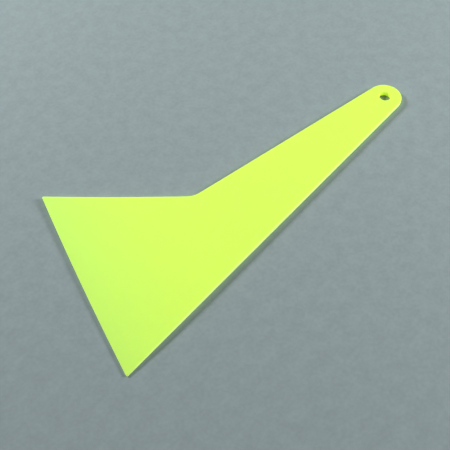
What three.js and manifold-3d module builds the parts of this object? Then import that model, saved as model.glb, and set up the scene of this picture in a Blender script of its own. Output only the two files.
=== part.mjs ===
// Long-handled film squeegee: one moulded plate with a wide blade head, a slim
// tapering handle and a hanging hole in its rounded end.
//
// Millimetres, +Z up. The plate lies flat on its underside. +X runs along its long
// straight edge, from the blade's lower corner to the hanging end.

import * as THREE from 'three';
import { mergeVertices } from 'three/addons/utils/BufferGeometryUtils.js';
import Module from 'manifold-3d';

const wasm = await Module();
wasm.setup();

// Plan shape
const LENGTH = 300;              // blade's lower corner to the tip of the hanging end
const BLADE_LENGTH = 150;        // corner to corner along the working edge
const LOWER_CORNER = 65.8;       // degrees between the working edge and the long edge
const UPPER_CORNER = 63.5;       // degrees between the working edge and the shoulder
const SHOULDER_LENGTH = 102.1;   // blade's upper corner to the bend of the neck
const SHOULDER_HOLLOW = 0.9;     // how far the middle of the shoulder bows inwards
const BLADE_CROWN = 0.9;         // how far the middle of the working edge bows outwards
const CORNER_RADIUS = 0.8;       // both blade corners
const NECK_RADIUS = 15;          // inside curve where the shoulder turns into the handle
const END_RADIUS = 12.1;         // hanging end
const HOLE_RADIUS = 4.2;         // hanging hole, concentric with the end

// Side shape
const THICKNESS = 3.2;           // handle and shoulder
const EDGE_THICKNESS = 1;        // at the working edge
const TAPER_LENGTH = 72;         // working edge to where the full thickness is reached

const CURVE_STEPS = 32;          // straight steps that stand for each curve
const OVERRUN = 5;               // how far the side shape passes the plan shape
const MERGE_DISTANCE = 1e-4;     // vertices closer than this are one

function direction(degrees) {
  const angle = THREE.MathUtils.degToRad(degrees);
  return new THREE.Vector2(Math.cos(angle), Math.sin(angle));
}

function leftOf(side) {
  return new THREE.Vector2(-side.y, side.x);
}

// The corners of the plan: lower blade corner at the origin, long edge along +X.
const bladeAxis = direction(LOWER_CORNER);
const lowerCorner = new THREE.Vector2(0, 0);
const upperCorner = bladeAxis.clone().multiplyScalar(BLADE_LENGTH);
const neckBend = direction(LOWER_CORNER + UPPER_CORNER - 180)
  .multiplyScalar(SHOULDER_LENGTH)
  .add(upperCorner);
const endCentre = new THREE.Vector2(LENGTH - END_RADIUS, END_RADIUS);

// The handle's upper edge runs from the neck to touch the circle of the hanging end.
const neckToEnd = endCentre.clone().sub(neckBend);
const touchAngle = neckToEnd.angle() + Math.asin(END_RADIUS / neckToEnd.length()) + Math.PI / 2;
const touchPoint = new THREE.Vector2(END_RADIUS, 0)
  .rotateAround(new THREE.Vector2(0, 0), touchAngle)
  .add(endCentre);

// Runs the path on to a point along a shallow curve that bows outwards by the sagitta.
function bowTo(path, end, sagitta) {
  const start = path.currentPoint;
  const outwards = leftOf(end.clone().sub(start).normalize()).negate();
  const pull = start.clone().lerp(end, 0.5).addScaledVector(outwards, 2 * sagitta);
  path.quadraticCurveTo(pull.x, pull.y, end.x, end.y);
}

// Runs the path to a corner, bowing outwards on the way if asked, and rounds the corner
// with an arc that touches both of its sides.
function roundCorner(path, before, corner, after, radius, bowBefore = 0) {
  const sideIn = corner.clone().sub(before).normalize();
  const sideOut = after.clone().sub(corner).normalize();
  const turn = Math.atan2(sideIn.cross(sideOut), sideIn.dot(sideOut));
  const left = Math.sign(turn);
  const setback = radius * Math.tan(Math.abs(turn) / 2);
  const start = corner.clone().addScaledVector(sideIn, -setback);
  const centre = start.clone().addScaledVector(leftOf(sideIn), left * radius);
  if (bowBefore !== 0) bowTo(path, start, bowBefore);
  const startAngle = start.clone().sub(centre).angle();
  path.absarc(centre.x, centre.y, radius, startAngle, startAngle + turn, left < 0);
}

function planShape() {
  const path = new THREE.Shape();
  roundCorner(path, upperCorner, lowerCorner, new THREE.Vector2(LENGTH, 0), CORNER_RADIUS);
  path.absarc(endCentre.x, endCentre.y, END_RADIUS, -Math.PI / 2, touchAngle, false);
  roundCorner(path, touchPoint, neckBend, upperCorner, NECK_RADIUS);
  roundCorner(path, neckBend, upperCorner, lowerCorner, CORNER_RADIUS, -SHOULDER_HOLLOW);
  bowTo(path, path.getPoint(0), BLADE_CROWN);

  const hole = new THREE.Path();
  hole.absarc(endCentre.x, endCentre.y, HOLE_RADIUS, 0, 2 * Math.PI, true);
  path.holes.push(hole);
  return path;
}

// Height of the plate against the distance from the working edge: the top face dips
// to the thin edge on a parabola that meets the flat part without a crease.
function sideShape() {
  const path = new THREE.Shape();
  path.moveTo(-OVERRUN, 0);
  path.lineTo(LENGTH, 0);
  path.lineTo(LENGTH, THICKNESS);
  path.lineTo(TAPER_LENGTH, THICKNESS);
  path.quadraticCurveTo(TAPER_LENGTH / 2, THICKNESS, 0, EDGE_THICKNESS);
  path.lineTo(-OVERRUN, EDGE_THICKNESS);
  return path;
}

function extrudedSolid(shape, depth, place) {
  const geometry = new THREE.ExtrudeGeometry(shape, { depth, curveSegments: CURVE_STEPS, bevelEnabled: false });
  geometry.applyMatrix4(place);
  geometry.deleteAttribute('normal');
  geometry.deleteAttribute('uv');
  const merged = mergeVertices(geometry, MERGE_DISTANCE);
  return new wasm.Manifold(new wasm.Mesh({
    numProp: 3,
    vertProperties: new Float32Array(merged.attributes.position.array),
    triVerts: new Uint32Array(merged.index.array),
  }));
}

function geometryOf(solid) {
  const mesh = solid.getMesh();
  const geometry = new THREE.BufferGeometry();
  geometry.setAttribute('position', new THREE.BufferAttribute(mesh.vertProperties, 3));
  geometry.setIndex(new THREE.BufferAttribute(mesh.triVerts, 1));
  return geometry;
}

// The plate is what the plan and the side shape have in common.
function plateGeometry() {
  const planPlace = new THREE.Matrix4().makeTranslation(0, 0, -OVERRUN);
  const plan = extrudedSolid(planShape(), THICKNESS + 2 * OVERRUN, planPlace);

  const inwards = leftOf(bladeAxis).negate();
  const sideStart = bladeAxis.clone().multiplyScalar(BLADE_LENGTH + OVERRUN);
  const sidePlace = new THREE.Matrix4()
    .makeBasis(
      new THREE.Vector3(inwards.x, inwards.y, 0),
      new THREE.Vector3(0, 0, 1),
      new THREE.Vector3(-bladeAxis.x, -bladeAxis.y, 0),
    )
    .setPosition(sideStart.x, sideStart.y, 0);
  const side = extrudedSolid(sideShape(), BLADE_LENGTH + 2 * OVERRUN, sidePlace);
  return geometryOf(plan.intersect(side));
}

// The frame's origin is the middle of the plan's box, on the underside.
function centredOnBase(geometry) {
  geometry.computeBoundingBox();
  const middle = geometry.boundingBox.getCenter(new THREE.Vector3());
  return geometry.translate(-middle.x, -middle.y, 0);
}

const fluorescentPlastic = new THREE.MeshStandardMaterial({
  color: '#dcff68',
  roughness: 0.45,
  metalness: 0,
});

const body = new THREE.Mesh(centredOnBase(plateGeometry()), fluorescentPlastic);
body.name = 'squeegee_body';

const squeegee = new THREE.Group();
squeegee.add(body);

export default squeegee;
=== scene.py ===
"""Looks of a long-handled film squeegee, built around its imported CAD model.

The tool is one moulded plate of fluorescent, slightly translucent plastic. This script
makes its fine mesh with softened edges, its material, a plain floor, soft light and the
camera. Lengths are in metres, in the CAD model's frame: the plate lies on its underside
and +X runs along its long straight edge towards the hanging end.
"""

import math

import bmesh
import bpy
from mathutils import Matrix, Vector


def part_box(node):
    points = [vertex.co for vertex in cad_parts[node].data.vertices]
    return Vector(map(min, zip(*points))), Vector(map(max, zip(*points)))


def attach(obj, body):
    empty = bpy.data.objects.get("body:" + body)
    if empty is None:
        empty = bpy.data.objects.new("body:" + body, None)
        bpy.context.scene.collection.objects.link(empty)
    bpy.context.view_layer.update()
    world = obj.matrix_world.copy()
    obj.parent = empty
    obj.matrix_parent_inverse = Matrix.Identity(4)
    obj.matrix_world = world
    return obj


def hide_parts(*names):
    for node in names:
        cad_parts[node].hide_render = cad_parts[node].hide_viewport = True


MM = 0.001

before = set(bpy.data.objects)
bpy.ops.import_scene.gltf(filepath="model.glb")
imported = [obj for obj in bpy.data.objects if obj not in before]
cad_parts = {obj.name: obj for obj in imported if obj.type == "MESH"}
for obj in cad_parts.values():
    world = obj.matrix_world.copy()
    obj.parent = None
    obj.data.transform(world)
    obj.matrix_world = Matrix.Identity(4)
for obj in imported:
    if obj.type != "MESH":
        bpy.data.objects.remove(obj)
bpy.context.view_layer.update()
plate_low, plate_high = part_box("squeegee_body")

# Plan shape of the plate, the same driving sizes as the CAD model.
LENGTH = 300 * MM
BLADE_LENGTH = 150 * MM
LOWER_CORNER = math.radians(65.8)
UPPER_CORNER = math.radians(63.5)
SHOULDER_LENGTH = 102.1 * MM
BLADE_CROWN = 0.9 * MM
SHOULDER_HOLLOW = 0.9 * MM
CORNER_RADIUS = 0.8 * MM
NECK_RADIUS = 15 * MM
END_RADIUS = 12.1 * MM
HOLE_RADIUS = 4.2 * MM

# Side shape of the plate. Only the fine mesh lifts the thin upper corner of the blade.
THICKNESS = plate_high.z - plate_low.z
EDGE_THICKNESS = 1 * MM
TAPER_LENGTH = 72 * MM
CORNER_LIFT = 1.1 * MM

# Softened edges, which only the fine mesh has: their radii at the outline and at the hole.
EDGE_ROUND = 0.3 * MM
HOLE_ROUND = 0.45 * MM

# Fineness of the mesh.
ROUND_STEPS = 4
ARC_STEP = math.radians(5)
FEWEST_ARC_STEPS = 6
STRAIGHT_STEP = 4 * MM
FACE_STEP = 4 * MM
ON_THE_CUT = 0.001 * MM

# The plastic's colour where the plate is thick, and at the thin working edge.
THICK_COLOUR = (0.66, 0.95, 0.075)
THIN_COLOUR = (0.53, 0.95, 0.1)

# How far red, green and blue light spread inside the plastic.
SPREAD = 2 * MM
SPREAD_SHARES = (1, 1, 0.3)

# Painted glow: emission on a plate that is no lamp. On the faces it lifts the fluorescent plastic's
# brightness. At the open walls it is stronger, painted light that stands in for light piped through
# the plastic to its edges.
# The wall of the hanging hole gets a weaker, deeper yellow painted glow. It is painted shade for the
# hole's dim wall, tinted like light passed to and fro between its sides.
# At the top of a wall, where the rounded edge turns up into the light, the painted glow is a mix of
# the face's and the wall's, with this share of the wall's.
FACE_PAINTED_GLOW = (0.15, 0.23, 0.045)
EDGE_PAINTED_GLOW = (0.4, 0.62, 0.28)
HOLE_PAINTED_GLOW = (0.33, 0.37, 0.03)
RIM_SHARE = 0.5

# Moulded surface and wear. The roughness drifts between its ends in soft clouds.
GRAIN_SIZE = 0.5 * MM
GRAIN_DEPTH = 0.006 * MM
CLOUD_SIZE = 30 * MM
ROUGHNESS = (0.5, 0.62)
SCRATCH_LENGTH = 18 * MM
SCRATCH_WIDTH = 0.25 * MM
SCRATCH_DEPTH = 0.01 * MM

# Stretches of a noise's values: nearly all of them, and only its rare peaks.
MOST_VALUES = (0.3, 0.7)
PEAKS = (0.72, 0.8)

# The studio: a faintly speckled and mottled grey disc, just clear of the plate's underside,
# in front of an even backdrop.
FLOOR_DARK = (0.262, 0.322, 0.331)
FLOOR_LIGHT = (0.313, 0.384, 0.393)
FLOOR_ROUGHNESS = 0.9
FLOOR_SPECKLE = 2.5 * MM
FLOOR_MOTTLE = 9 * MM
FLOOR_RADIUS = 950 * MM
FLOOR_SIDES = 128
FLOOR_GAP = 0.02 * MM
STUDIO_COLOUR = (0.82, 0.98, 1)

# The camera: a 72 mm lens on a 36 mm sensor.
LENS = 72
SENSOR = 36
CAMERA_TARGET = Vector((-27.44 * MM, -40.36 * MM, 0))
CAMERA_DISTANCE = 592.1 * MM
CAMERA_AZIMUTH = math.radians(-50.3)
CAMERA_ELEVATION = math.radians(52.3)
NEAREST_SEEN = 10 * MM


def direction(angle):
    """Unit vector in the plan at an angle from +X."""
    return Vector((math.cos(angle), math.sin(angle)))


def left_of(side):
    """A plan vector turned a quarter turn counter-clockwise."""
    return Vector((-side.y, side.x))


# Corners of the plan, worked out from the hanging end's tip and the long edge's line.
lower_corner = Vector((plate_high.x - LENGTH, plate_low.y))
blade_axis = direction(LOWER_CORNER)
blade_inwards = -left_of(blade_axis)
upper_corner = lower_corner + BLADE_LENGTH * blade_axis
shoulder_axis = direction(LOWER_CORNER + UPPER_CORNER - math.pi)
neck_bend = upper_corner + SHOULDER_LENGTH * shoulder_axis
end_centre = Vector((plate_high.x - END_RADIUS, plate_low.y + END_RADIUS))


def arc(centre, radius, start, sweep):
    """Points along an arc, both ends included."""
    steps = max(FEWEST_ARC_STEPS, math.ceil(abs(sweep) / ARC_STEP))
    return [centre + radius * direction(start + sweep * i / steps) for i in range(steps + 1)]


def rounded_corner(before, corner, after, radius):
    """Points of the arc that touches both sides of a corner."""
    side_in = (corner - before).normalized()
    side_out = (after - corner).normalized()
    turn = math.atan2(side_in.cross(side_out), side_in.dot(side_out))
    left = math.copysign(1, turn)
    start = corner - radius * math.tan(abs(turn) / 2) * side_in
    centre = start + left * radius * left_of(side_in)
    spoke = start - centre
    return arc(centre, radius, math.atan2(spoke.y, spoke.x), turn)


def bowed(start, end, sagitta):
    """Points strictly between two ends, on a shallow curve that bows to the right."""
    steps = max(1, round((end - start).length / STRAIGHT_STEP))
    bulge = -sagitta * left_of((end - start).normalized())
    spots = [i / steps for i in range(1, steps)]
    return [start.lerp(end, t) + 4 * t * (1 - t) * bulge for t in spots]


def plan_outline():
    """The plate's outline, counter-clockwise from the lower blade corner."""
    to_end = end_centre - neck_bend
    tangent = math.atan2(to_end.y, to_end.x) + math.asin(END_RADIUS / to_end.length)
    touch_angle = tangent + math.pi / 2
    touch_point = end_centre + END_RADIUS * direction(touch_angle)

    along_edge = lower_corner + Vector((LENGTH, 0))
    corners = [
        rounded_corner(upper_corner, lower_corner, along_edge, CORNER_RADIUS),
        arc(end_centre, END_RADIUS, -math.pi / 2, touch_angle + math.pi / 2),
        rounded_corner(touch_point, neck_bend, upper_corner, NECK_RADIUS),
        rounded_corner(neck_bend, upper_corner, lower_corner, CORNER_RADIUS),
    ]
    crowns = [0, 0, -SHOULDER_HOLLOW, BLADE_CROWN]
    points = []
    for i, corner in enumerate(corners):
        following = corners[(i + 1) % len(corners)]
        points += corner + bowed(corner[-1], following[0], crowns[i])
    return points


def outward_normals(points):
    """Outward direction at each point of a counter-clockwise loop."""
    spans = [points[(i + 1) % len(points)] - points[i - 1] for i in range(len(points))]
    return [-left_of(span.normalized()) for span in spans]


def taper(point):
    """0 where the plate has its full thickness, rising on a parabola to 1 at the working edge."""
    from_edge = (point - lower_corner).dot(blade_inwards)
    fraction = max(0, min(1, 1 - from_edge / TAPER_LENGTH))
    return fraction * fraction


def under_height(point):
    """Height of the underside: flat, but for the thin upper corner, which curls up a little."""
    along_blade = (point - lower_corner).dot(blade_axis) / BLADE_LENGTH
    return CORNER_LIFT * taper(point) * max(0, min(1, along_blade))


def top_height(point):
    thinning = (THICKNESS - EDGE_THICKNESS) * taper(point)
    return under_height(point) + THICKNESS - thinning


def edge_profile(radius):
    """The edge from the underside to the top face, as steps of inset, height, from_top.

    The height is measured from the underside, or where from_top is true, from the top face.
    The first and last steps lie on the faces and keep their shading flat.
    """
    quarter = [math.pi / 2 * i / ROUND_STEPS for i in range(ROUND_STEPS + 1)]
    rounding = [(radius * (1 - math.sin(a)), radius * (1 - math.cos(a)), False) for a in quarter]
    lower = [(2 * radius, 0, False)] + rounding
    upper = [(inset, -height, True) for inset, height, _ in reversed(lower)]
    return lower + upper


def wall_rings(mesh, points, normals, radius, wall_painted_glow):
    """Rings of vertices round a wall, joined by quads, from the underside to the top."""
    glow = mesh.verts.layers.float_color["glow"]
    face_painted_glow, wall_painted_glow = Vector(FACE_PAINTED_GLOW), Vector(wall_painted_glow)
    rings = []
    for inset, height, from_top in edge_profile(radius):
        ring = []
        for point, normal in zip(points, normals):
            spot = point - inset * normal
            base = top_height(spot) if from_top else under_height(spot)
            vert = mesh.verts.new((spot.x, spot.y, plate_low.z + base + height))
            # Painted glow: the wall's share grows out to the open wall and is cut on its upper half,
            # which the lamps light already.
            share = max(0, 1 - inset / radius) * (RIM_SHARE if from_top else 1)
            vert[glow] = (*face_painted_glow.lerp(wall_painted_glow, share), 1)
            ring.append(vert)
        rings.append(ring)
    for below, above in zip(rings, rings[1:]):
        for i in range(len(below)):
            j = (i + 1) % len(below)
            mesh.faces.new((below[i], below[j], above[j], above[i]))
    return rings[0], rings[-1]


def nearest(ring, spot):
    """Index of the ring's vertex that is nearest to a spot of the plan."""
    return min(range(len(ring)), key=lambda i: (ring[i].co.xy - spot).length)


def loop_from(ring, first, last):
    """The ring's vertices from one index to another, going forwards round the loop."""
    count = (last - first) % len(ring)
    return [ring[(first + i) % len(ring)] for i in range(count + 1)]


def cap(mesh, outer, hole, upwards):
    """Closes one side with two faces that meet on a line across the hanging hole."""
    above = end_centre + Vector((0, END_RADIUS))
    below = end_centre - Vector((0, END_RADIUS))
    outer_top, outer_bottom = nearest(outer, above), nearest(outer, below)
    hole_top, hole_bottom = nearest(hole, above), nearest(hole, below)
    # The hole's loop runs clockwise, so both joined loops run counter-clockwise.
    blade_side = loop_from(outer, outer_top, outer_bottom) + loop_from(hole, hole_bottom, hole_top)
    tip_side = loop_from(outer, outer_bottom, outer_top) + loop_from(hole, hole_top, hole_bottom)
    faces = []
    for loop in (blade_side, tip_side):
        faces.append(mesh.faces.new(loop if upwards else loop[::-1]))
    return faces


def slice_faces(mesh, faces, axis, low, high):
    """Cuts faces along lines about a step apart, across an axis of the plan."""
    steps = round((high - low) / FACE_STEP)
    for i in range(1, steps):
        distance = low + (high - low) * i / steps
        spot = lower_corner + distance * axis
        parts = faces + list({e for f in faces for e in f.edges})
        parts += list({v for f in faces for v in f.verts})
        cut = bmesh.ops.bisect_plane(
            mesh,
            geom=parts,
            dist=ON_THE_CUT,
            plane_co=(spot.x, spot.y, 0),
            plane_no=(axis.x, axis.y, 0),
        )
        faces = [g for g in cut["geom"] if isinstance(g, bmesh.types.BMFace)]
    return faces


def build_plate():
    """The plate's fine mesh, which carries its thinness and its painted glow at every vertex."""
    mesh = bmesh.new()
    thinness = mesh.verts.layers.float.new("thinness")
    mesh.verts.layers.float_color.new("glow")
    outline = plan_outline()
    outer_normals = outward_normals(outline)
    outer_under, outer_top = wall_rings(mesh, outline, outer_normals, EDGE_ROUND, EDGE_PAINTED_GLOW)
    hole_points = arc(end_centre, HOLE_RADIUS, 0, -2 * math.pi)[:-1]
    hole_normals = [(end_centre - p).normalized() for p in hole_points]
    # The hole's wall gets the weaker, deeper yellow painted glow, painted shade for the hole.
    hole_under, hole_top = wall_rings(mesh, hole_points, hole_normals, HOLE_ROUND, HOLE_PAINTED_GLOW)

    for outer, hole, upwards in ((outer_top, hole_top, True), (outer_under, hole_under, False)):
        faces = cap(mesh, outer, hole, upwards)
        faces = slice_faces(mesh, faces, blade_inwards, 0, LENGTH)
        faces = slice_faces(mesh, faces, blade_axis, 0, BLADE_LENGTH)
        height = top_height if upwards else under_height
        for vert in {v for f in faces for v in f.verts}:
            vert.co.z = plate_low.z + height(vert.co.xy)

    for vert in mesh.verts:
        vert[thinness] = taper(vert.co.xy)
    for face in mesh.faces:
        face.smooth = True
    data = bpy.data.meshes.new("squeegee_plate")
    mesh.to_mesh(data)
    mesh.free()
    plate = bpy.data.objects.new("squeegee_plate", data)
    bpy.context.scene.collection.objects.link(plate)
    return plate


class Nodes:
    """Short calls for building a node material."""

    def __init__(self, name):
        self.material = bpy.data.materials.new(name)
        self.material.use_nodes = True
        self.tree = self.material.node_tree
        self.tree.nodes.clear()

    def add(self, kind, **settings):
        node = self.tree.nodes.new(kind)
        for key, value in settings.items():
            setattr(node, key, value)
        return node

    def link(self, source, target):
        self.tree.links.new(source, target)


def mix_colours(n, factor, first, second):
    """Socket of a colour that goes from the first to the second as the factor goes from 0 to 1."""
    mix = n.add("ShaderNodeMix", data_type="RGBA")
    mix.inputs["A"].default_value = (*first, 1)
    mix.inputs["B"].default_value = (*second, 1)
    n.link(factor, mix.inputs["Factor"])
    return mix.outputs["Result"]


def noise(n, place, size, stretch=(1, 1, 1), detail=2):
    """Socket of a noise from 0 to 1 whose lumps are about the given size."""
    scaled = n.add("ShaderNodeMapping")
    scaled.inputs["Scale"].default_value = stretch
    n.link(place, scaled.inputs["Vector"])
    texture = n.add("ShaderNodeTexNoise")
    texture.inputs["Scale"].default_value = 1 / size
    texture.inputs["Detail"].default_value = detail
    n.link(scaled.outputs["Vector"], texture.inputs["Vector"])
    return texture.outputs["Fac"]


def remapped(n, value, old, new):
    """Socket of a value carried from one range to another."""
    change = n.add("ShaderNodeMapRange")
    change.inputs["From Min"].default_value, change.inputs["From Max"].default_value = old
    change.inputs["To Min"].default_value, change.inputs["To Max"].default_value = new
    n.link(value, change.inputs["Value"])
    return change.outputs["Result"]


def bumped(n, height, depth, normal=None):
    """Socket of the normal after a height of 0 to 1 is laid on the surface."""
    bump = n.add("ShaderNodeBump")
    bump.inputs["Distance"].default_value = depth
    n.link(height, bump.inputs["Height"])
    if normal is not None:
        n.link(normal, bump.inputs["Normal"])
    return bump.outputs["Normal"]


def scratches(n, place):
    """Socket that is 1 in sparse fine scratches across the working edge, 0 elsewhere."""
    turned = n.add("ShaderNodeMapping", vector_type="POINT")
    turned.inputs["Rotation"].default_value = (0, 0, math.pi / 2 - LOWER_CORNER)
    n.link(place, turned.inputs["Vector"])
    stretch = (SCRATCH_WIDTH / SCRATCH_LENGTH, 1, 1)
    streaks = noise(n, turned.outputs["Vector"], SCRATCH_WIDTH, stretch, detail=0)
    return remapped(n, streaks, PEAKS, (0, 1))


def plastic_material():
    n = Nodes("fluorescent_plastic")
    output = n.add("ShaderNodeOutputMaterial")
    shader = n.add("ShaderNodeBsdfPrincipled")
    n.link(shader.outputs["BSDF"], output.inputs["Surface"])
    shader.inputs["Subsurface Weight"].default_value = 1
    shader.inputs["Subsurface Radius"].default_value = SPREAD_SHARES
    shader.inputs["Subsurface Scale"].default_value = SPREAD
    shader.inputs["Emission Strength"].default_value = 1

    thinness = n.add("ShaderNodeAttribute", attribute_name="thinness")
    base_colour = mix_colours(n, thinness.outputs["Fac"], THICK_COLOUR, THIN_COLOUR)
    n.link(base_colour, shader.inputs["Base Color"])
    # Painted glow: the mesh's glow colours drive the emission, lightening the faces and the open
    # walls though the plate is no lamp.
    glow = n.add("ShaderNodeAttribute", attribute_name="glow")
    n.link(glow.outputs["Color"], shader.inputs["Emission Color"])

    place = n.add("ShaderNodeTexCoord").outputs["Object"]
    clouds = remapped(n, noise(n, place, CLOUD_SIZE), MOST_VALUES, ROUGHNESS)
    n.link(clouds, shader.inputs["Roughness"])
    grain = bumped(n, noise(n, place, GRAIN_SIZE), GRAIN_DEPTH)
    worn = bumped(n, scratches(n, place), -SCRATCH_DEPTH, grain)
    n.link(worn, shader.inputs["Normal"])
    return n.material


def floor_material():
    n = Nodes("studio_floor")
    output = n.add("ShaderNodeOutputMaterial")
    shader = n.add("ShaderNodeBsdfPrincipled")
    n.link(shader.outputs["BSDF"], output.inputs["Surface"])
    shader.inputs["Roughness"].default_value = FLOOR_ROUGHNESS
    place = n.add("ShaderNodeTexCoord").outputs["Object"]
    speckle = remapped(n, noise(n, place, FLOOR_SPECKLE, detail=3), MOST_VALUES, (0, 0.5))
    mottle = remapped(n, noise(n, place, FLOOR_MOTTLE), MOST_VALUES, (0, 0.5))
    both = n.add("ShaderNodeMath", operation="ADD")
    n.link(speckle, both.inputs[0])
    n.link(mottle, both.inputs[1])
    colour = mix_colours(n, both.outputs["Value"], FLOOR_DARK, FLOOR_LIGHT)
    n.link(colour, shader.inputs["Base Color"])
    return n.material


def build_floor():
    mesh = bmesh.new()
    bmesh.ops.create_circle(mesh, cap_ends=True, segments=FLOOR_SIDES, radius=FLOOR_RADIUS)
    data = bpy.data.meshes.new("studio_floor")
    mesh.to_mesh(data)
    mesh.free()
    floor = bpy.data.objects.new("studio_floor", data)
    floor.location.z = plate_low.z - FLOOR_GAP
    bpy.context.scene.collection.objects.link(floor)
    return floor


def aim(thing, target):
    """Turns a lamp or camera to look at a point."""
    thing.rotation_euler = (target - thing.location).to_track_quat("-Z", "Y").to_euler()


def spherical(azimuth, elevation, distance):
    """A point round the origin. Azimuth 0 is on the -Y side."""
    across = math.sin(azimuth) * math.cos(elevation)
    along = -math.cos(azimuth) * math.cos(elevation)
    return distance * Vector((across, along, math.sin(elevation)))


def area_light(name, azimuth, elevation, distance, size, power):
    """A white softbox that faces the middle of the plate."""
    data = bpy.data.lights.new(name, "AREA")
    data.shape = "RECTANGLE"
    data.size, data.size_y = size
    data.energy = power
    lamp = bpy.data.objects.new(name, data)
    lamp.location = spherical(azimuth, elevation, distance)
    bpy.context.scene.collection.objects.link(lamp)
    aim(lamp, Vector((0, 0, 0)))


def build_camera():
    data = bpy.data.cameras.new("camera")
    data.lens = LENS
    data.sensor_width = SENSOR
    data.clip_start = NEAREST_SEEN
    camera = bpy.data.objects.new("camera", data)
    camera.location = CAMERA_TARGET + spherical(CAMERA_AZIMUTH, CAMERA_ELEVATION, CAMERA_DISTANCE)
    bpy.context.scene.collection.objects.link(camera)
    aim(camera, CAMERA_TARGET)
    bpy.context.scene.camera = camera


def set_world(fill, backdrop):
    """A plain studio: how strongly it lights the scene, and how bright it looks itself."""
    world = bpy.data.worlds.new("studio")
    world.use_nodes = True
    nodes, links = world.node_tree.nodes, world.node_tree.links
    strength = nodes.new("ShaderNodeMapRange")
    strength.inputs["To Min"].default_value = fill
    strength.inputs["To Max"].default_value = backdrop
    links.new(nodes.new("ShaderNodeLightPath").outputs["Is Camera Ray"], strength.inputs["Value"])
    background = nodes["Background"]
    background.inputs["Color"].default_value = (*STUDIO_COLOUR, 1)
    links.new(strength.outputs["Result"], background.inputs["Strength"])
    bpy.context.scene.world = world


build_camera()

plate = build_plate()
plate.data.materials.append(plastic_material())
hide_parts("squeegee_body")
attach(plate, "root")

floor = build_floor()
floor.data.materials.append(floor_material())

# Two softboxes, behind the plate to the left and beside it to the right, and a faint big one
# high behind it. Distances and sizes are in metres, powers in watts.
area_light(
    "left_softbox",
    azimuth=CAMERA_AZIMUTH - math.radians(122),
    elevation=math.radians(31.5),
    distance=1.3,
    size=(0.4, 0.32),
    power=15.3,
)
area_light(
    "right_softbox",
    azimuth=CAMERA_AZIMUTH + math.radians(98),
    elevation=math.radians(23),
    distance=1.15,
    size=(0.5, 0.3),
    power=11.7,
)
area_light(
    "overhead",
    azimuth=CAMERA_AZIMUTH + math.pi,
    elevation=math.radians(55),
    distance=1,
    size=(0.8, 0.8),
    power=1.5,
)
set_world(fill=0.02, backdrop=0.38)
bpy.context.scene.view_settings.view_transform = "Standard"
